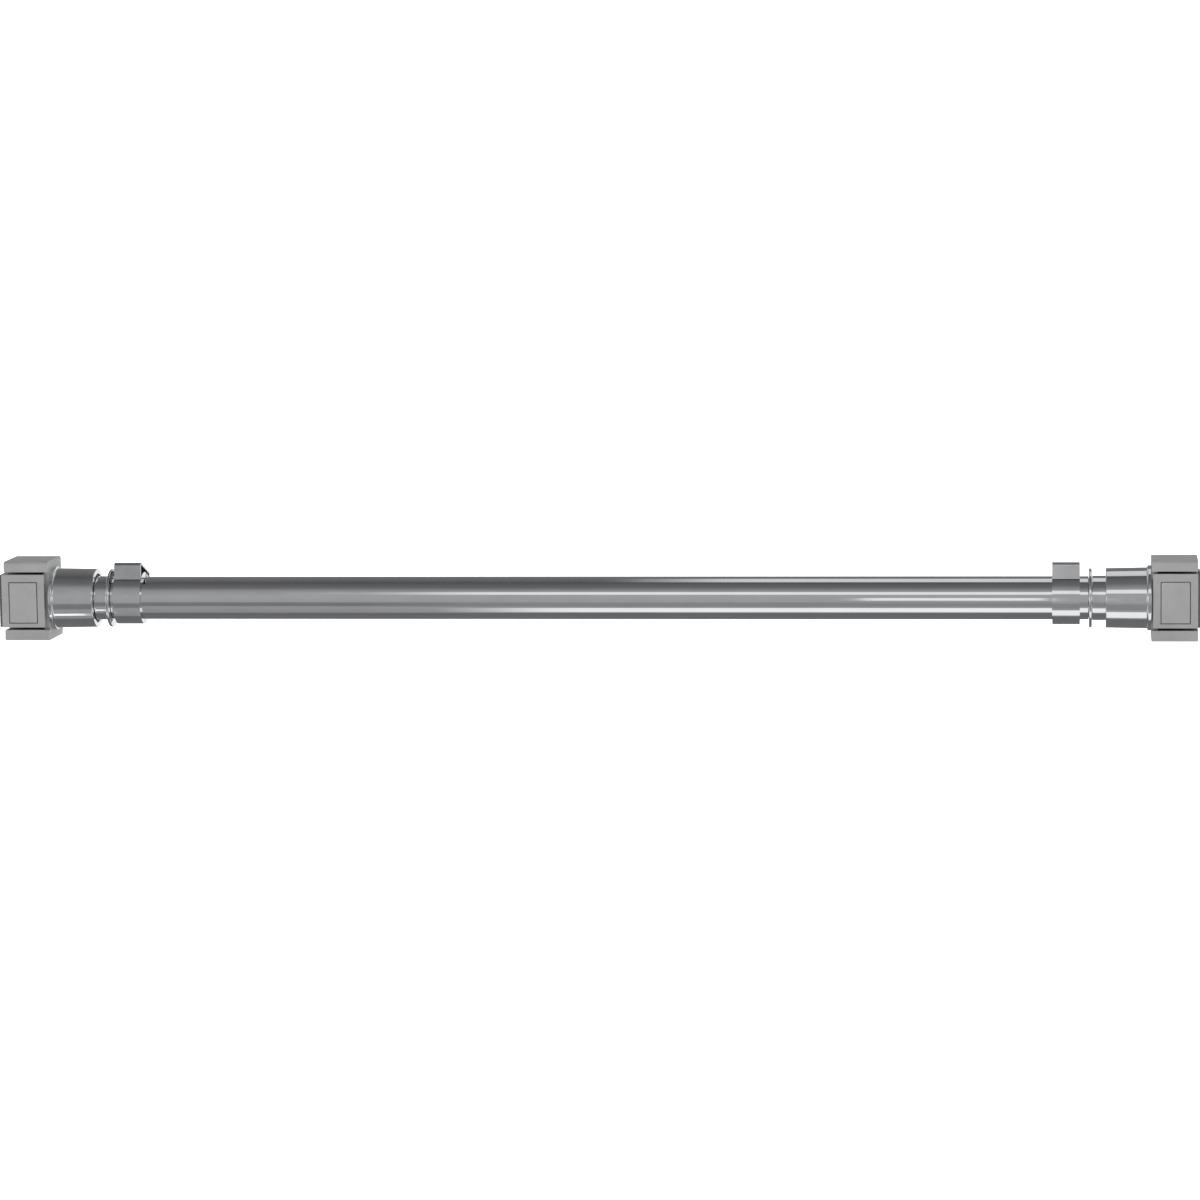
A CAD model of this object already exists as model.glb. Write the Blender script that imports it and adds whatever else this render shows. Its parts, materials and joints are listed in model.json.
import json
import math

import bmesh
import bpy
from bpy.props import FloatProperty, FloatVectorProperty, IntProperty, PointerProperty
from mathutils import Matrix, Vector


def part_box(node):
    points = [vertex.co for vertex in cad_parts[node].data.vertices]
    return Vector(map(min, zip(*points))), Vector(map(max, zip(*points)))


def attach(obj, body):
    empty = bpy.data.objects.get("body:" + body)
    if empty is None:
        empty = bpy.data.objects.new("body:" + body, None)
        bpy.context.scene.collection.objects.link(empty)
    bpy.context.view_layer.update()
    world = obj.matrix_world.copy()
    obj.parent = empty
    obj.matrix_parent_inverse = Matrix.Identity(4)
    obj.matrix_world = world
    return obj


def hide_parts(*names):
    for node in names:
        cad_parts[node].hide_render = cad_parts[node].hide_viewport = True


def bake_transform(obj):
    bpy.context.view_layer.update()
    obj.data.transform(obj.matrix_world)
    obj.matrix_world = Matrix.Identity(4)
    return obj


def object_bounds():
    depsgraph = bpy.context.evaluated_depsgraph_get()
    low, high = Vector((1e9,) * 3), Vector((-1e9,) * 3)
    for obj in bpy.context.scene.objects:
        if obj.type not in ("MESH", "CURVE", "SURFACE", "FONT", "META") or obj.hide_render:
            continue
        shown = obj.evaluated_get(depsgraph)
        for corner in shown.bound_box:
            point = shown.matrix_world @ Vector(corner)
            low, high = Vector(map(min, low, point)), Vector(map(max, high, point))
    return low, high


bl_info = {
    "name": "Window security bar",
    "version": (1, 0, 0),
    "blender": (4, 5, 0),
    "location": "View3D > Sidebar > Window bar",
    "description": "Dresses the telescoping window security bar in polished chrome and satin lacquer",
    "category": "Object",
}

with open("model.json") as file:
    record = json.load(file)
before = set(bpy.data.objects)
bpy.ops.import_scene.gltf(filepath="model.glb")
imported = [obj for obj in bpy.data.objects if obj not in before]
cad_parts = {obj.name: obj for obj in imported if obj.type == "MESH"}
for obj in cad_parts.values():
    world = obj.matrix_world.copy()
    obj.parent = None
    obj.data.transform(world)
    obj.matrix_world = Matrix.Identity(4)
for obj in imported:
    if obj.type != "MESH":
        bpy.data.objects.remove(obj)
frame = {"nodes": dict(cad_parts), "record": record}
CAD_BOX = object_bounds()
MM = 0.001
ENDS = ("left", "right")

# Fixed sizes of the CAD that no box gives
RUNNING_FIT = 0.05 * MM  # radial clearance of what turns or slides
ASSEMBLY_FIT = 0.03 * MM  # radial clearance of what is put together once
SLOT_HALF = 0.8 * MM  # half the width of the clamping slots in the main tube
SLOT_BEYOND = 3 * MM  # how far a slot runs past its collar
GROOVE_DEPTH = 0.6 * MM  # of the grooves for the retaining rings
WIRE_SIDE_GAP = 0.1 * MM  # on each side of a retaining ring in its groove
WIRE_SPLIT_HALF = 1.5 * MM  # half the opening of a retaining ring
SCREW_RADIUS = 6 * MM  # of the jack screws, over the thread
SCREW_SHOULDER = 1.6 * MM  # thickness of their shoulders
SCREW_CHAMFER = 1 * MM  # at their ends
SPRING_RADIUS = 2.6 * MM  # outer radius of a foot spring


def outward(end):
    """-1 at the left end and +1 at the right: the way along X that leads to the wall."""
    return -1 if end == "left" else 1


def body_of_node(node):
    """The CAD body that a node belongs to."""
    bodies = frame["record"]["behaviour"]["bodies"]
    return next(body for body, nodes in bodies.items() if node in nodes)


def slot_of_node(node):
    """The record's material slot of a node."""
    return next(p["material_slot"] for p in frame["record"]["subparts"] if p["node"] == node)


def reach(node, end):
    """How far along the bar a node starts and stops, measured outwards from mid-length."""
    low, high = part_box(node)
    return (low.x, high.x) if end == "right" else (-high.x, -low.x)


def radius_of(node):
    """Outer radius of a round node about the bar's axis."""
    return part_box(node)[1].z


# ---------------------------------------------------------------- sizes and colours


class BarSizes(bpy.types.PropertyGroup):
    """Sizes of the finish, and of the shapes that the frame's boxes don't give."""

    tube_wall: FloatProperty(
        name="Tube wall", description="Wall of the main tube", default=1.2 * MM, unit="LENGTH"
    )
    spigot_wall: FloatProperty(
        name="Spigot wall", description="Wall of the sliding inner tube", default=1.5 * MM, unit="LENGTH"
    )
    cup_wall: FloatProperty(
        name="Cup wall", description="Wall of the cup at its mouth", default=2.9 * MM, unit="LENGTH"
    )
    cup_floor: FloatProperty(
        name="Cup floor", description="Thickness of the cup's floor", default=3 * MM, unit="LENGTH"
    )
    cup_lip: FloatProperty(
        name="Cup lip",
        description="Thickness of the lip against the housing",
        default=2.2 * MM, unit="LENGTH",
    )
    cup_lip_proud: FloatProperty(
        name="Lip stands out",
        description="How far the lip stands out of the cup",
        default=1.2 * MM, unit="LENGTH",
    )
    cup_flare: FloatProperty(
        name="Cup flare",
        description="Growth of the cup's radius to the housing",
        default=0.4 * MM, unit="LENGTH",
    )
    disc_thickness: FloatProperty(
        name="Disc", description="Thickness of the turning ring's disc", default=1.8 * MM, unit="LENGTH"
    )
    disc_rim: FloatProperty(
        name="Disc rim",
        description="How far the disc stands out of its sleeve",
        default=4.2 * MM, unit="LENGTH",
    )
    spigot_seat: FloatProperty(
        name="Spigot seat",
        description="Depth of the ring's bore for the spigot",
        default=11.5 * MM, unit="LENGTH",
    )
    turned_edge: FloatProperty(
        name="Turned edge",
        description="Radius polished onto turned edges",
        default=0.35 * MM, unit="LENGTH",
    )
    cast_edge: FloatProperty(
        name="Cast edge",
        description="Radius on the edges of the castings",
        default=0.35 * MM, unit="LENGTH",
    )
    sheet_edge: FloatProperty(
        name="Sheet edge",
        description="Radius on the edges of bent sheet",
        default=0.18 * MM, unit="LENGTH",
    )
    screw_edge: FloatProperty(
        name="Fastener edge",
        description="Radius on the edges of fasteners",
        default=0.12 * MM, unit="LENGTH",
    )
    thread_pitch: FloatProperty(
        name="Thread pitch",
        description="Distance between crests of the jack screw",
        default=3 * MM, unit="LENGTH",
    )
    thread_depth: FloatProperty(
        name="Thread depth",
        description="Depth of the jack screw's thread",
        default=1.1 * MM, unit="LENGTH",
    )
    thread_starts: IntProperty(
        name="Thread starts", description="Number of starts of the jack screw", default=2, min=1, max=4
    )
    spring_wire: FloatProperty(
        name="Spring wire",
        description="Diameter of the foot springs' wire",
        default=0.8 * MM, unit="LENGTH",
    )
    spring_turns: FloatProperty(
        name="Spring turns", description="Turns in each foot spring", default=5.5, min=3, max=9
    )
    rib_pitch: FloatProperty(
        name="Pad ribs",
        description="Distance between the ribs of the wall pad",
        default=1.9 * MM, unit="LENGTH",
    )
    rib_depth: FloatProperty(
        name="Rib depth",
        description="Depth of the grooves between the ribs",
        default=0.55 * MM, unit="LENGTH",
    )
    steps: IntProperty(
        name="Steps", description="Facets round a turned piece", default=144, min=32, max=256
    )


def linear(hex_code):
    """An sRGB hex colour as linear RGBA."""
    channels = [int(hex_code[i : i + 2], 16) / 255 for i in (1, 3, 5)]
    return [c / 12.92 if c <= 0.04045 else ((c + 0.055) / 1.055) ** 2.4 for c in channels] + [1.0]


def swatch(name, description, hex_code):
    """A colour that the user can change."""
    return FloatVectorProperty(
        name=name, description=description, default=linear(hex_code), size=4, subtype="COLOR", min=0, max=1
    )


class BarColours(bpy.types.PropertyGroup):
    """Colours of the finishes and of the studio."""

    chrome: swatch("Chrome", "Bright chromium plate", "#e4e5e7")
    lacquer: swatch("Lacquer", "Satin grey lacquer of the housings", "#8a8a8b")
    cover: swatch("Cover lacquer", "Satin grey lacquer of the cover plates", "#8c8c8d")
    steel: swatch("Ground steel", "Bright ground steel of the spigots", "#c4c5c7")
    zinc: swatch("Zinc plate", "Plated screws and nuts", "#b4b7ba")
    wire: swatch("Spring wire", "Oiled drawn wire", "#7b7c80")
    acetal: swatch("Acetal", "Black bush", "#1d1e20")
    rubber: swatch("Rubber", "Wall pad", "#4a4a4c")
    floor: swatch("Floor", "Studio floor", "#fbfbfb")


def sizes():
    """The sizes in use."""
    return bpy.context.scene.bar_sizes


def colours():
    """The colours in use."""
    return bpy.context.scene.bar_colours


# ---------------------------------------------------------------- materials


def add(tree, kind, settings=(), links=()):
    """Adds a node; settings are property or input values, links are (input, socket) pairs."""
    node = tree.nodes.new(kind)
    for key, value in dict(settings).items():
        if isinstance(key, str) and hasattr(node, key):
            setattr(node, key, value)
        else:
            node.inputs[key].default_value = value
    for key, socket in dict(links).items():
        tree.links.new(node.inputs[key], socket)
    return node


def new_material(name, colour, metallic, roughness, **sockets):
    """A Principled material and its tree; sockets names further inputs that are the same all over."""
    material = bpy.data.materials.new(name)
    material.use_nodes = True
    tree = material.node_tree
    shader = tree.nodes["Principled BSDF"]
    shader.inputs["Base Color"].default_value = colour
    shader.inputs["Metallic"].default_value = metallic
    shader.inputs["Roughness"].default_value = roughness
    for key, value in sockets.items():
        shader.inputs[key.replace("_", " ")].default_value = value
    return material, tree, shader


def stretched_noise(tree, spacing_mm, stretch, detail=3.0, roughness=0.55):
    """Noise whose grain is spacing_mm wide; stretch is how many times longer it is along X, Y and Z."""
    place = add(tree, "ShaderNodeTexCoord").outputs["Object"]
    scale = [1 / (spacing_mm * MM * s) for s in stretch]
    mapped = add(tree, "ShaderNodeMapping", {"Scale": scale}, {"Vector": place})
    return add(
        tree,
        "ShaderNodeTexNoise",
        {"Scale": 1.0, "Detail": detail, "Roughness": roughness},
        {"Vector": mapped.outputs["Vector"]},
    ).outputs["Fac"]


def remap(tree, value, low, high, start=0.3, stop=0.7):
    """Maps noise from start..stop to low..high."""
    return add(
        tree,
        "ShaderNodeMapRange",
        {"From Min": start, "From Max": stop, "To Min": low, "To Max": high},
        {"Value": value},
    ).outputs["Result"]


def tint(tree, value, colour, darker, lighter):
    """Varies a colour by value between darker and lighter times itself."""
    ramp = add(tree, "ShaderNodeValToRGB", links={"Fac": value})
    low, high = ramp.color_ramp.elements
    low.position, high.position = 0.3, 0.7
    low.color = [c * darker for c in colour[:3]] + [1]
    high.color = [min(1, c * lighter) for c in colour[:3]] + [1]
    return ramp.outputs["Color"]


def bump(tree, shader, heights):
    """Adds bumps to a shader: heights is a list of (height socket, depth in mm, strength)."""
    normal = None
    for height, depth_mm, strength in heights:
        links = {"Height": height}
        if normal:
            links["Normal"] = normal
        normal = add(
            tree, "ShaderNodeBump", {"Strength": strength, "Distance": depth_mm * MM}, links
        ).outputs["Normal"]
    tree.links.new(shader.inputs["Normal"], normal)


def drawn_chrome():
    """Chromium plate over drawn steel tube: mirror bright, with hair-fine die lines along its length.
    The lines are 0.5 mm apart, coarser than the real ones, so that they show."""
    colour = colours().chrome
    material, tree, shader = new_material("Chrome plate, drawn tube", colour, 1.0, 0.06)
    lines = stretched_noise(tree, 0.5, (90, 1, 1))
    haze = stretched_noise(tree, 14, (2.5, 1, 1))
    tree.links.new(shader.inputs["Base Color"], tint(tree, haze, colour, 0.965, 1.02))
    tree.links.new(shader.inputs["Roughness"], remap(tree, haze, 0.035, 0.085))
    bump(tree, shader, [(lines, 0.004, 0.25)])
    return material


def turned_chrome():
    """Chromium plate over turned steel: mirror bright, with faint rings left by the polishing mop.
    The rings are 0.4 mm apart, drawn coarser than the real ones."""
    colour = colours().chrome
    material, tree, shader = new_material("Chrome plate, turned", colour, 1.0, 0.06)
    rings = stretched_noise(tree, 0.4, (1, 60, 60))
    haze = stretched_noise(tree, 9, (1, 1, 1))
    tree.links.new(shader.inputs["Base Color"], tint(tree, haze, colour, 0.96, 1.02))
    tree.links.new(shader.inputs["Roughness"], remap(tree, haze, 0.04, 0.10))
    bump(tree, shader, [(rings, 0.003, 0.25)])
    return material


def sheet_chrome():
    """Chromium plate over bent steel strip: softer than the tube and about a fifth darker, with
    rolling lines along the strip and a slight waviness from the press."""
    colour = colours().chrome
    material, tree, shader = new_material("Chrome plate, bent strip", colour, 1.0, 0.17)
    lines = stretched_noise(tree, 0.5, (1, 30, 30))
    waves = stretched_noise(tree, 7, (1, 1, 1), detail=1)
    tree.links.new(shader.inputs["Base Color"], tint(tree, waves, colour, 0.78, 0.84))
    tree.links.new(shader.inputs["Roughness"], remap(tree, waves, 0.13, 0.22))
    bump(tree, shader, [(lines, 0.004, 0.2), (waves, 0.02, 0.12)])
    return material


def satin_lacquer(name, colour):
    """Satin grey lacquer over a zinc die casting: even mid grey, soft broad highlights, a fine
    orange-peel skin and a slight cloudiness where the coat is thicker."""
    material, tree, shader = new_material(
        name, colour, 0.0, 0.42, Coat_Weight=0.12, Coat_Roughness=0.35, Specular_IOR_Level=0.45
    )
    cloud = stretched_noise(tree, 11, (1, 1, 1))
    speckle = stretched_noise(tree, 0.22, (1, 1, 1), detail=2)
    peel = stretched_noise(tree, 0.7, (1, 1, 1), detail=2)
    mottled = tint(tree, cloud, colour, 0.95, 1.06)
    flecks = tint(tree, speckle, (1, 1, 1), 0.93, 1.0)
    flake = add(tree, "ShaderNodeVectorMath", {"operation": "MULTIPLY"}, {0: mottled, 1: flecks})
    tree.links.new(shader.inputs["Base Color"], flake.outputs[0])
    tree.links.new(shader.inputs["Roughness"], remap(tree, cloud, 0.38, 0.48))
    bump(tree, shader, [(peel, 0.035, 0.5), (speckle, 0.01, 0.4)])
    return material


def ground_steel():
    """Centreless-ground steel tube: bright but soft, with fine lines round it."""
    colour = colours().steel
    material, tree, shader = new_material("Steel, ground", colour, 1.0, 0.2)
    lines = stretched_noise(tree, 0.3, (1, 40, 40))
    tree.links.new(shader.inputs["Base Color"], tint(tree, lines, colour, 0.9, 1.0))
    tree.links.new(shader.inputs["Roughness"], remap(tree, lines, 0.14, 0.26))
    bump(tree, shader, [(lines, 0.006, 0.3)])
    return material


def zinc_plate():
    """Zinc-plated steel: pale grey metal with a soft mottled bloom."""
    colour = colours().zinc
    material, tree, shader = new_material("Steel, zinc plated", colour, 1.0, 0.32)
    bloom = stretched_noise(tree, 1.6, (1, 1, 1), detail=4)
    tree.links.new(shader.inputs["Base Color"], tint(tree, bloom, colour, 0.82, 1.05))
    tree.links.new(shader.inputs["Roughness"], remap(tree, bloom, 0.24, 0.42))
    bump(tree, shader, [(bloom, 0.01, 0.25)])
    return material


def drawn_wire():
    """Oiled spring wire: dark grey metal with a low shine."""
    colour = colours().wire
    material, tree, shader = new_material("Spring steel, drawn wire", colour, 1.0, 0.33)
    oil = stretched_noise(tree, 0.9, (1, 1, 1))
    tree.links.new(shader.inputs["Base Color"], tint(tree, oil, colour, 0.75, 1.1))
    tree.links.new(shader.inputs["Roughness"], remap(tree, oil, 0.24, 0.45))
    bump(tree, shader, [(oil, 0.006, 0.2)])
    return material


def turned_acetal():
    """Black acetal, turned: waxy, with fine tool rings."""
    colour = colours().acetal
    material, tree, shader = new_material("Acetal, turned", colour, 0.0, 0.4)
    rings = stretched_noise(tree, 0.25, (1, 60, 60))
    tree.links.new(shader.inputs["Base Color"], tint(tree, rings, colour, 0.8, 1.3))
    tree.links.new(shader.inputs["Roughness"], remap(tree, rings, 0.34, 0.5))
    bump(tree, shader, [(rings, 0.01, 0.3)])
    return material


def moulded_rubber():
    """Moulded rubber: dull dark grey, with a dusty bloom and a fine grained skin."""
    colour = colours().rubber
    material, tree, shader = new_material("Rubber, moulded", colour, 0.0, 0.8, Specular_IOR_Level=0.3)
    bloom = stretched_noise(tree, 3, (1, 1, 1))
    grain = stretched_noise(tree, 0.25, (1, 1, 1))
    tree.links.new(shader.inputs["Base Color"], tint(tree, bloom, colour, 0.85, 1.15))
    tree.links.new(shader.inputs["Roughness"], remap(tree, grain, 0.7, 0.9))
    bump(tree, shader, [(grain, 0.03, 0.4)])
    return material


FINISHES = {
    "chrome_tube": drawn_chrome,
    "chrome_fittings": turned_chrome,
    "chrome_lever": sheet_chrome,
    "satin_zinc": lambda: satin_lacquer("Zinc casting, satin lacquer", colours().lacquer),
    "satin_cover": lambda: satin_lacquer("Pressed cover, satin lacquer", colours().cover),
    "bright_steel": ground_steel,
    "zinc_steel": zinc_plate,
    "spring_steel": drawn_wire,
    "black_acetal": turned_acetal,
    "pad_rubber": moulded_rubber,
}
made_finishes = {}


def finish_for(slot):
    """The material of a slot, made once."""
    if slot not in made_finishes:
        made_finishes[slot] = FINISHES[slot]()
    return made_finishes[slot]


# ---------------------------------------------------------------- mesh work


def new_object(name, mesh):
    """Puts a mesh in the scene."""
    obj = bpy.data.objects.new(name, mesh)
    bpy.context.scene.collection.objects.link(obj)
    return obj


def applied(obj):
    """Applies an object's modifiers to its mesh."""
    bpy.context.view_layer.update()
    evaluated = obj.evaluated_get(bpy.context.evaluated_depsgraph_get())
    mesh = bpy.data.meshes.new_from_object(evaluated)
    obj.modifiers.clear()
    old = obj.data
    obj.data = mesh
    bpy.data.meshes.remove(old)
    return obj


def smooth(obj, degrees=35):
    """Shades an object smooth, and sharp over the given angle. The large faces set the normals, so
    that a small rounded edge doesn't bend the shine of the long face beside it."""
    obj.data.shade_smooth()
    obj.data.set_sharp_from_angle(angle=math.radians(degrees))
    weighted = obj.modifiers.new("normals", "WEIGHTED_NORMAL")
    weighted.keep_sharp = True
    return applied(obj)


def stands_for(obj, *nodes):
    """The object takes the place, the finish and the body of CAD nodes."""
    slot = slot_of_node(nodes[0])
    obj.data.materials.clear()
    obj.data.materials.append(finish_for(slot))
    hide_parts(*nodes)
    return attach(obj, body_of_node(nodes[0]))


def rounded(points, default=0.0, steps=4):
    """A closed outline with its corners rounded. A point is (x, y) or (x, y, radius). A corner that is
    nearly straight stays as it is, and none takes more than its share of a side."""
    straight = math.radians(89)
    side_share = 0.49
    out = []
    count = len(points)
    for i, point in enumerate(points):
        here = Vector(point[:2])
        radius = point[2] if len(point) > 2 else default
        to_last = Vector(points[i - 1][:2]) - here
        to_next = Vector(points[(i + 1) % count][:2]) - here
        a, b = to_last.normalized(), to_next.normalized()
        half = a.angle(b, math.pi) / 2
        if radius <= 0 or half > straight:
            out.append(here)
            continue
        cut = min(radius / math.tan(half), side_share * to_last.length, side_share * to_next.length)
        real = cut * math.tan(half)
        centre = here + (a + b).normalized() * (real / math.sin(half))
        start = here + a * cut - centre
        turn = start.angle_signed(here + b * cut - centre)
        for k in range(steps + 1):
            arm = start.copy()
            arm.rotate(Matrix.Rotation(-turn * k / steps, 2))
            out.append(centre + arm)
    return out


def lathe(name, outline, start=0.0, stop=360.0):
    """Turns a closed outline of (along, radius) points about the bar's axis. Points on the axis are
    joined. start and stop are degrees from +Y towards +Z; a part turn gets end faces."""
    whole = abs(stop - start) >= 360
    steps = max(8, round(sizes().steps * abs(stop - start) / 360))
    bm = bmesh.new()
    rows = []
    for k in range(steps if whole else steps + 1):
        angle = math.radians(start + (stop - start) * k / steps)
        rows.append([bm.verts.new((x, r * math.cos(angle), r * math.sin(angle))) for x, r in outline])
    count = len(outline)
    for k in range(steps):
        this, that = rows[k], rows[(k + 1) % len(rows)]
        for i in range(count):
            j = (i + 1) % count
            bm.faces.new((this[i], this[j], that[j], that[i]))
    if not whole:
        bm.faces.new(rows[0])
        bm.faces.new(reversed(rows[-1]))
    bmesh.ops.remove_doubles(bm, verts=bm.verts, dist=1e-7)
    bmesh.ops.dissolve_degenerate(bm, edges=bm.edges, dist=1e-8)
    bmesh.ops.recalc_face_normals(bm, faces=bm.faces)
    mesh = bpy.data.meshes.new(name)
    bm.to_mesh(mesh)
    bm.free()
    return smooth(new_object(name, mesh))


def mirrored(end, outline):
    """An outline measured outwards from mid-length, put at its end of the bar."""
    side = outward(end)
    return [(side * p[0], *p[1:]) for p in outline]


def cut_away(obj, *boxes):
    """Cuts boxes, each given by two corners, out of an object."""
    for low, high in boxes:
        bm = bmesh.new()
        bmesh.ops.create_cube(bm, size=1)
        middle = (Vector(low) + Vector(high)) / 2
        size = Vector(high) - Vector(low)
        place = Matrix.Translation(middle) @ Matrix.Diagonal((*size, 1))
        bmesh.ops.transform(bm, matrix=place, verts=bm.verts)
        mesh = bpy.data.meshes.new("cutter")
        bm.to_mesh(mesh)
        bm.free()
        cutter = new_object("cutter", mesh)
        modifier = obj.modifiers.new("cut", "BOOLEAN")
        modifier.operation = "DIFFERENCE"
        modifier.solver = "EXACT"
        modifier.object = cutter
        applied(obj)
        bpy.data.objects.remove(cutter)
        bpy.data.meshes.remove(mesh)
    return smooth(obj)


def eased(node, edge, segments=3):
    """A copy of a CAD node with its flat faces made whole and its sharp edges rounded by edge."""
    weld = 0.002 * MM
    flat, sharp = math.radians(0.4), math.radians(38)
    bm = bmesh.new()
    bm.from_mesh(frame["nodes"][node].data)
    bmesh.ops.remove_doubles(bm, verts=bm.verts, dist=weld)
    bmesh.ops.dissolve_limit(bm, angle_limit=flat, verts=bm.verts, edges=bm.edges)
    mesh = bpy.data.meshes.new(node)
    bm.to_mesh(mesh)
    bm.free()
    obj = new_object(node + ".dressed", mesh)
    bevel = obj.modifiers.new("edges", "BEVEL")
    bevel.width = edge
    bevel.segments = segments
    bevel.limit_method = "ANGLE"
    bevel.angle_limit = sharp
    bevel.use_clamp_overlap = True
    return smooth(applied(obj), 50)


def helix_tube(name, centre, start, stop, radius, wire, turns):
    """A coil spring of round wire along X, from start to stop, with nearly closed end turns. The
    radius is that of the wire's middle."""
    sides, steps = 8, 28
    closing = 0.35  # how much of a turn's rise the end turns give to the others
    bm = bmesh.new()
    rows = []
    count = round(turns * steps)
    low, high = start + wire / 2, stop - wire / 2
    along = Vector((1, 0, 0))
    for i in range(count + 1):
        t = i / count
        turn = turns * t
        lean = closing / turns * (1 - min(1.0, turn, turns - turn))
        share = max(0, t - lean) if t < 0.5 else min(1, t + lean)
        a = math.tau * turn
        radial = Vector((0, math.cos(a), math.sin(a)))
        middle = Vector((low + (high - low) * share, centre.y, centre.z)) + radial * radius
        row = []
        for k in range(sides):
            b = math.tau * k / sides
            row.append(bm.verts.new(middle + (radial * math.cos(b) + along * math.sin(b)) * wire / 2))
        rows.append(row)
    for i in range(count):
        for k in range(sides):
            n = (k + 1) % sides
            bm.faces.new((rows[i][k], rows[i][n], rows[i + 1][n], rows[i + 1][k]))
    bm.faces.new(rows[0])
    bm.faces.new(reversed(rows[-1]))
    bmesh.ops.recalc_face_normals(bm, faces=bm.faces)
    mesh = bpy.data.meshes.new(name)
    bm.to_mesh(mesh)
    bm.free()
    return smooth(new_object(name, mesh), 50)


# ---------------------------------------------------------------- operators


class BarOperator(bpy.types.Operator):
    """What the operators share"""

    bl_options = {"REGISTER", "UNDO"}


class WINDOWBAR_OT_tubes(BarOperator):
    """Main tube with its clamping slots, and the two inner tubes that slide in it"""

    bl_idname = "window_bar.tubes"
    bl_label = "Make the tubes"

    def execute(self, context):
        s = sizes()
        low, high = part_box("main_tube")
        outer = radius_of("main_tube")
        inner = outer - s.tube_wall
        outline = [(low.x, inner), (high.x, inner), (high.x, outer), (low.x, outer)]
        tube = lathe("main_tube.dressed", rounded(outline, s.turned_edge * 0.7))
        cuts = []
        for end in ENDS:
            near = reach(f"{end}_collar", end)[0] - SLOT_BEYOND
            far = max(abs(low.x), high.x) + SLOT_BEYOND
            xs = sorted((outward(end) * near, outward(end) * far))
            cuts.append(((xs[0], 0, -SLOT_HALF), (xs[1], outer * 1.2, SLOT_HALF)))
        stands_for(cut_away(tube, *cuts), "main_tube")
        for end in ENDS:
            node = f"{end}_spigot"
            start, stop = reach(node, end)
            outer = radius_of(node)
            inner = outer - s.spigot_wall
            ring_start, ring_stop = reach(f"{end}_retaining_ring", end)
            ring_start, ring_stop = ring_start - WIRE_SIDE_GAP, ring_stop + WIRE_SIDE_GAP
            groove = outer - GROOVE_DEPTH
            outline = [
                (start, inner),
                (stop, inner, s.screw_edge),
                (stop, outer, s.turned_edge),
                (ring_stop, outer),
                (ring_stop, groove),
                (ring_start, groove),
                (ring_start, outer),
                (start, outer, s.turned_edge),
            ]
            stands_for(lathe(node + ".dressed", rounded(mirrored(end, outline))), node)
        return {"FINISHED"}


class WINDOWBAR_OT_rings(BarOperator):
    """Turning ring with its disc and sleeve, the wire ring that holds it, and the bush round it"""

    bl_idname = "window_bar.rings"
    bl_label = "Make the turning rings"

    def execute(self, context):
        s = sizes()
        for end in ENDS:
            node = f"{end}_jack_ring"
            low, tip = reach(node, end)
            high = low + s.disc_thickness
            rim = radius_of(node)
            sleeve = rim - s.disc_rim
            bore = radius_of(f"{end}_spigot") + RUNNING_FIT
            screw = SCREW_RADIUS + RUNNING_FIT
            seat = low + s.spigot_seat
            ring_start, ring_stop = reach(f"{end}_retaining_ring", end)
            ring_start, ring_stop = ring_start - WIRE_SIDE_GAP, ring_stop + WIRE_SIDE_GAP
            groove = bore + GROOVE_DEPTH
            edge = s.disc_thickness * 0.3
            outline = [
                (low, bore, s.screw_edge),
                (low, rim, edge),
                (high, rim, edge),
                (high, sleeve, 0.4 * MM),
                (tip, sleeve, 0.9 * MM),
                (tip, screw, s.turned_edge),
                (seat, screw),
                (seat, bore),
                (ring_stop, bore),
                (ring_stop, groove),
                (ring_start, groove),
                (ring_start, bore),
            ]
            stands_for(lathe(node + ".dressed", rounded(mirrored(end, outline))), node)

            node = f"{end}_retaining_ring"
            start, stop = reach(node, end)
            outer = radius_of(node)
            inner = radius_of(f"{end}_spigot") - GROOVE_DEPTH + RUNNING_FIT
            outline = [(start, inner), (stop, inner), (stop, outer), (start, outer)]
            open_half = math.degrees(WIRE_SPLIT_HALF / outer)
            wire = lathe(
                node + ".dressed",
                rounded(mirrored(end, outline), 0.25 * MM),
                start=open_half,
                stop=360 - open_half - 0.01,
            )
            stands_for(wire, node)

            node = f"{end}_neck_bush"
            start, stop = reach(node, end)
            outer = radius_of(node)
            outline = [
                (start, sleeve + RUNNING_FIT, 0.5 * MM),
                (stop, sleeve + RUNNING_FIT, 0.3 * MM),
                (stop, outer, 0.3 * MM),
                (start, outer, 0.2 * MM),
            ]
            stands_for(lathe(node + ".dressed", rounded(mirrored(end, outline))), node)
        return {"FINISHED"}


class WINDOWBAR_OT_cups(BarOperator):
    """Tapered cups with their lips against the housings"""

    bl_idname = "window_bar.cups"
    bl_label = "Make the cups"

    def execute(self, context):
        s = sizes()
        for end in ENDS:
            node = f"{end}_cup"
            mouth, base = reach(node, end)
            lip = radius_of(node)
            wide = lip - s.cup_lip_proud
            narrow = wide - s.cup_flare
            bore = narrow - s.cup_wall
            screw = SCREW_RADIUS + ASSEMBLY_FIT
            outline = [
                (mouth, bore, s.turned_edge),
                (mouth, narrow, s.turned_edge * 1.4),
                (base - s.cup_lip, wide, 0.7 * MM),
                (base - s.cup_lip, lip, 0.55 * MM),
                (base, lip, 0.3 * MM),
                (base, screw),
                (base - s.cup_floor, screw),
                (base - s.cup_floor, bore, 1.0 * MM),
            ]
            stands_for(lathe(node + ".dressed", rounded(mirrored(end, outline))), node)
        return {"FINISHED"}


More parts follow.
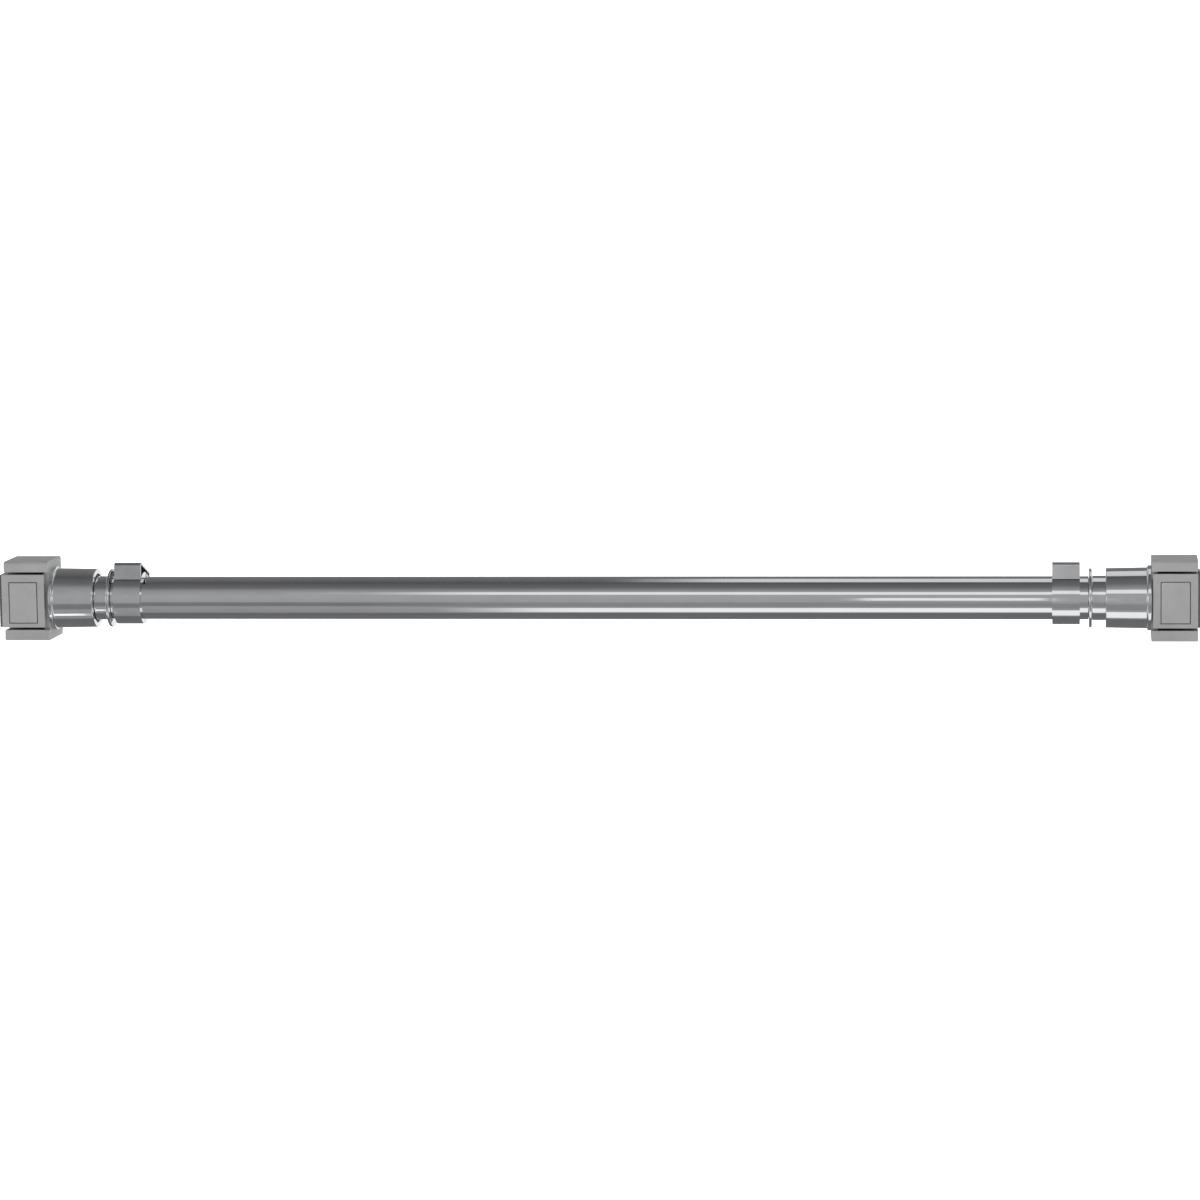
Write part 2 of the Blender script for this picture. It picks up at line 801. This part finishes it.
class WINDOWBAR_OT_housings(BarOperator):
    """Cast end housings with their flanges"""

    bl_idname = "window_bar.housings"
    bl_label = "Make the housings"

    def execute(self, context):
        for end in ENDS:
            node = f"{end}_housing"
            stands_for(eased(node, sizes().cast_edge), node)
        return {"FINISHED"}


class WINDOWBAR_OT_feet(BarOperator):
    """Sliding feet, their cover plates and the ribbed rubber wall pads"""

    bl_idname = "window_bar.feet"
    bl_label = "Make the feet"

    def execute(self, context):
        s = sizes()
        for end in ENDS:
            stands_for(eased(f"{end}_foot", s.cast_edge), f"{end}_foot")
            stands_for(eased(f"{end}_inlay", s.cast_edge * 0.7), f"{end}_inlay")
            node = f"{end}_wall_pad"
            low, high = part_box(node)
            start, stop = reach(node, end)
            side = outward(end)
            count = round((high.y - low.y) / s.rib_pitch)
            pitch = (high.y - low.y) / count
            valley = stop - s.rib_depth
            slope = pitch * 0.2
            outline = [(start, low.y), (start, high.y)]
            for k in range(count, 0, -1):
                top = low.y + k * pitch
                outline += [(valley, top), (stop, top - slope), (stop, top - pitch + slope)]
            outline.append((valley, low.y))
            bm = bmesh.new()
            rows = [
                [bm.verts.new((side * p.x, p.y, z)) for p in rounded(outline, 0.2 * MM, 3)]
                for z in (low.z, high.z)
            ]
            count = len(rows[0])
            for i in range(count):
                j = (i + 1) % count
                bm.faces.new((rows[0][i], rows[0][j], rows[1][j], rows[1][i]))
            bm.faces.new(rows[0])
            bm.faces.new(reversed(rows[1]))
            bmesh.ops.recalc_face_normals(bm, faces=bm.faces)
            mesh = bpy.data.meshes.new(node)
            bm.to_mesh(mesh)
            bm.free()
            stands_for(smooth(new_object(node + ".dressed", mesh), 50), node)
        return {"FINISHED"}


class WINDOWBAR_OT_screws(BarOperator):
    """Two-start jack screws with their washers and nuts, and all the small fasteners"""

    bl_idname = "window_bar.screws"
    bl_label = "Make the screws"

    fasteners = ("screw_washer", "screw_nut", "guide_screws", "clamp_bolt", "clamp_nut", "lever_pin")

    def execute(self, context):
        for end in ENDS:
            self.jack_screw(end)
            for piece in self.fasteners:
                node = f"{end}_{piece}"
                stands_for(eased(node, sizes().screw_edge, 2), node)
        return {"FINISHED"}

    def jack_screw(self, end):
        """The thread is a lathe whose radius follows the helix; it fades out at the shoulder."""
        s = sizes()
        node = f"{end}_jack_screw"
        back, tip = reach(node, end)
        shoulder = radius_of(node)
        floor_face = reach(f"{end}_cup", end)[1] - s.cup_floor
        base = SCREW_RADIUS - SCREW_CHAMFER
        fade_length = 2 * MM
        side = outward(end)
        steps, rows_per_pitch = 72, 8
        rows = round((tip - back) / (s.thread_pitch / rows_per_pitch))
        places = [back + (tip - back) * i / rows for i in range(rows + 1)]

        def radius(x, angle):
            """Radius of the screw at a place along it and an angle round it."""
            if floor_face - SCREW_SHOULDER <= x <= floor_face:
                return shoulder
            phase = (x / s.thread_pitch - s.thread_starts * angle / math.tau) % 1
            # A trapezium: 0 on the flat crest, 1 on the flat root, and the sloping flanks between
            flank = min(1, max(0, abs(phase - 0.5) * 4 - 0.5))
            near = x > floor_face - 2 * fade_length
            fade = min(1, abs(x - floor_face) / fade_length) if near else 1
            cut = s.thread_depth * flank * fade
            return min(SCREW_RADIUS - cut, base + (x - back), base + (tip - x))

        bm = bmesh.new()
        grid = []
        for x in places:
            ring = []
            for k in range(steps):
                angle = math.tau * k / steps
                r = radius(x, angle)
                ring.append(bm.verts.new((side * x, r * math.cos(angle), side * r * math.sin(angle))))
            grid.append(ring)
        for i in range(rows):
            for k in range(steps):
                n = (k + 1) % steps
                bm.faces.new((grid[i][k], grid[i][n], grid[i + 1][n], grid[i + 1][k]))
        bm.faces.new(grid[0])
        bm.faces.new(reversed(grid[-1]))
        bmesh.ops.recalc_face_normals(bm, faces=bm.faces)
        mesh = bpy.data.meshes.new(node)
        bm.to_mesh(mesh)
        bm.free()
        stands_for(smooth(new_object(node + ".dressed", mesh), 40), node)


class WINDOWBAR_OT_springs(BarOperator):
    """Coil springs that push the feet outwards"""

    bl_idname = "window_bar.springs"
    bl_label = "Make the springs"

    def execute(self, context):
        s = sizes()
        for end in ENDS:
            node = f"{end}_foot_springs"
            low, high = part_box(node)
            offset = (high.z - low.z) / 2 - SPRING_RADIUS
            for k, sign in enumerate((1, -1)):
                coil = helix_tube(
                    f"{end}_coil_{k}",
                    Vector((0, sign * offset, sign * offset)),
                    low.x,
                    high.x,
                    SPRING_RADIUS - s.spring_wire / 2,
                    s.spring_wire,
                    s.spring_turns,
                )
                coil.data.materials.append(finish_for("spring_steel"))
                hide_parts(node)
                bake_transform(coil)
        return {"FINISHED"}


class WINDOWBAR_OT_collars(BarOperator):
    """Split clamping collars and their flip levers of bent strip"""

    bl_idname = "window_bar.collars"
    bl_label = "Make the collars and levers"

    def execute(self, context):
        s = sizes()
        for end in ENDS:
            stands_for(eased(f"{end}_collar", s.sheet_edge), f"{end}_collar")
            stands_for(eased(f"{end}_lever", s.sheet_edge), f"{end}_lever")
        return {"FINISHED"}


class WINDOWBAR_OT_stage(BarOperator):
    """Pale floor, soft studio light and the camera"""

    bl_idname = "window_bar.stage"
    bl_label = "Make the stage"

    # The studio seen in bright metal: its brightness by the angle about the bar, in degrees, from the
    # room side (0) over the top (90) to the window side (180), and under the bar (-90)
    room = (
        (-180, 0.24), (-134, 0.17), (-86, 0.16), (-79, 0.31), (-44, 0.36), (-35, 0.21), (-21, 0.22),
        (-14, 0.39), (14, 0.42), (42, 0.34), (62, 0.16), (95, 0.10), (112, 0.14), (150, 0.2), (180, 0.24),
    )
    # Strip lights: lowest and highest angle, brightness, and the place along the bar (the X of the
    # direction) where each one starts and runs off to the right; far to the left they all come back.
    # The next two stand on the window side and light the bar's back, and the last one is far out at
    # both sides, where it puts the glint on turned edges
    strips = (
        (-77, -50, 0.72, -0.135),
        (-37, -17, 0.07, -0.15),
        (23, 37.5, 0.56, -0.155),
        (99, 130, 0.60, -0.095),
        (150, 178.8, 0.75, 0.08),
        (-178.8, -150, 0.75, 0.08),
        (-13, 15, 0.55, 0.45),
    )
    far_left = -0.38

    def execute(self, context):
        self.floor(context)
        self.light(context)
        # A card in front of the right half of the tube, and a small one under the left cup
        self.card("card_front", (0.178, -1.0, -0.026), (0.148, 0.24), 0.45)
        self.card("card_cup", (-0.42, -0.235, -0.44), (0.045, 0.08), 0.75)
        self.camera(context)
        context.scene.view_settings.view_transform = "Standard"
        return {"FINISHED"}

    def floor(self, context):
        """A sweep: flat under and behind the bar, then curving up. It glows a little, as a floor lit
        from all round does, so that the bar's shadow stays faint."""
        level = CAD_BOX[0].z
        half, front, back, rise, curve, steps = 6.0, -4.0, 2.5, 3.5, 1.5, 16
        path = [(front, level), (back, level)]
        for k in range(1, steps + 1):
            a = math.pi / 2 * k / steps
            path.append((back + curve * math.sin(a), level + curve * (1 - math.cos(a))))
        path.append((back + curve, level + rise))
        bm = bmesh.new()
        rows = [[bm.verts.new((x, y, z)) for y, z in path] for x in (-half, half)]
        for i in range(len(path) - 1):
            bm.faces.new((rows[0][i], rows[1][i], rows[1][i + 1], rows[0][i + 1]))
        mesh = bpy.data.meshes.new("floor")
        bm.to_mesh(mesh)
        bm.free()
        mesh.shade_smooth()
        floor = new_object("studio_floor", mesh)
        material, tree, shader = new_material("Painted sweep, matt", colours().floor, 0.0, 0.9)
        shader.inputs["Emission Color"].default_value = (1, 1, 1, 1)
        shader.inputs["Emission Strength"].default_value = 0.78
        mesh.materials.append(material)
        floor.visible_glossy = False
        floor.visible_shadow = False

    def card(self, name, place, size, brightness):
        """A glowing card that faces the bar and shows only as a shine in bright metal. Its power grows
        with its area, so that brightness is what the metal shows."""
        watts_per_area = 4
        data = bpy.data.lights.new(name, "AREA")
        data.shape = "RECTANGLE"
        data.size, data.size_y = size
        data.energy = brightness * watts_per_area * size[0] * size[1]
        light = bpy.data.objects.new(name, data)
        bpy.context.scene.collection.objects.link(light)
        aim = Vector((place[0], 0, 0)) - Vector(place)
        turn = aim.to_track_quat("-Z", "Y").to_matrix().to_4x4()
        light.matrix_world = Matrix.Translation(place) @ turn
        light.visible_camera = False
        light.visible_diffuse = False

    def ramp(self, tree, fac, stops):
        """A colour ramp from (place, grey) stops, with places from 0 to 1."""
        node = add(tree, "ShaderNodeValToRGB", links={"Fac": fac})
        elements = node.color_ramp.elements
        while len(elements) < len(stops):
            elements.new(0.5)
        for element, (place, grey) in zip(elements, stops):
            element.position = place
            element.color = (grey, grey, grey, 1)
        return node.outputs["Color"]

    def around(self, tree, share, stops):
        """A ramp whose stops are in degrees about the bar."""
        return self.ramp(tree, share, [((angle + 180) / 360, grey) for angle, grey in stops])

    def light(self, context):
        """A white dome for the lacquer, and the studio's bands for bright metal."""
        world = bpy.data.worlds.new("Studio")
        context.scene.world = world
        world.use_nodes = True
        tree = world.node_tree
        tree.nodes.clear()
        direction = add(tree, "ShaderNodeTexCoord").outputs["Generated"]
        split = add(tree, "ShaderNodeSeparateXYZ", links={0: direction})
        flip = {"operation": "MULTIPLY", 1: -1.0}
        towards = add(tree, "ShaderNodeMath", flip, {0: split.outputs["Y"]}).outputs[0]
        turn = {"operation": "ARCTAN2"}
        angle = add(tree, "ShaderNodeMath", turn, {0: split.outputs["Z"], 1: towards}).outputs[0]
        share = remap(tree, angle, 0, 1, -math.pi, math.pi)
        total = self.around(tree, share, self.room)
        along = remap(tree, split.outputs["X"], 0, 1, -1, 1)
        # Each strip fades over its edges: over angle at its sides and over direction X at its start
        side, start = 1.2, 0.012
        for low, high, grey, begin in self.strips:
            stops = [(low - side, 0), (low + side, grey), (high - side, grey), (high + side, 0)]
            shine = self.around(tree, share, stops)
            places = [
                (self.far_left - start, 1),
                (self.far_left + start, 0),
                (begin - start, 0),
                (begin + start, 1),
            ]
            mask = self.ramp(tree, along, [((x + 1) / 2, grey) for x, grey in places])
            scaled = {"Vector": shine, "Scale": mask}
            lit = add(tree, "ShaderNodeVectorMath", {"operation": "SCALE"}, scaled).outputs[0]
            both = {0: total, 1: lit}
            total = add(tree, "ShaderNodeVectorMath", {"operation": "ADD"}, both).outputs[0]
        mirror = add(tree, "ShaderNodeBackground", {"Strength": 1.0}, {"Color": total})
        dome = add(tree, "ShaderNodeBackground", {"Color": (1, 1, 1, 1), "Strength": 1.0})
        path = add(tree, "ShaderNodeLightPath")
        chosen = add(
            tree,
            "ShaderNodeMixShader",
            links={0: path.outputs["Is Glossy Ray"], 1: dome.outputs[0], 2: mirror.outputs[0]},
        )
        add(tree, "ShaderNodeOutputWorld", links={"Surface": chosen.outputs[0]})

    def camera(self, context):
        """Stands to the room side of the bar, opposite its right end, a little above it."""
        data = bpy.data.cameras.new("camera")
        data.lens = 129.6
        data.sensor_width = 36
        data.clip_end = 50
        camera = bpy.data.objects.new("camera", data)
        context.scene.collection.objects.link(camera)
        pan, tilt, roll = (math.radians(a) for a in (6.493, 6.693, -0.757))
        turn = (
            Matrix.Rotation(pan, 4, "Z")
            @ Matrix.Rotation(math.pi / 2 - tilt, 4, "X")
            @ Matrix.Rotation(roll, 4, "Z")
        )
        place = (0.2862, -2.4841, 0.2921)
        camera.matrix_world = Matrix.Translation(place) @ turn
        context.scene.camera = camera


class WINDOWBAR_PT_panel(bpy.types.Panel):
    """Lists the steps that dress the bar, with its sizes and colours"""

    bl_idname = "WINDOWBAR_PT_panel"
    bl_label = "Window security bar"
    bl_space_type = "VIEW_3D"
    bl_region_type = "UI"
    bl_category = "Window bar"

    def draw(self, context):
        for operator in STEPS:
            self.layout.operator(operator.bl_idname)
        for group in (context.scene.bar_sizes, context.scene.bar_colours):
            box = self.layout.box()
            for name in group.__annotations__:
                box.prop(group, name)


STEPS = (
    WINDOWBAR_OT_tubes,
    WINDOWBAR_OT_rings,
    WINDOWBAR_OT_cups,
    WINDOWBAR_OT_housings,
    WINDOWBAR_OT_feet,
    WINDOWBAR_OT_screws,
    WINDOWBAR_OT_springs,
    WINDOWBAR_OT_collars,
    WINDOWBAR_OT_stage,
)
CLASSES = (BarSizes, BarColours, *STEPS, WINDOWBAR_PT_panel)


def register():
    for cls in CLASSES:
        bpy.utils.register_class(cls)
    bpy.types.Scene.bar_sizes = PointerProperty(type=BarSizes)
    bpy.types.Scene.bar_colours = PointerProperty(type=BarColours)


def unregister():
    del bpy.types.Scene.bar_colours
    del bpy.types.Scene.bar_sizes
    for cls in reversed(CLASSES):
        bpy.utils.unregister_class(cls)


def main():
    register()
    for operator in STEPS:
        group, name = operator.bl_idname.split(".")
        getattr(getattr(bpy.ops, group), name)()


if __name__ == "__main__":
    main()
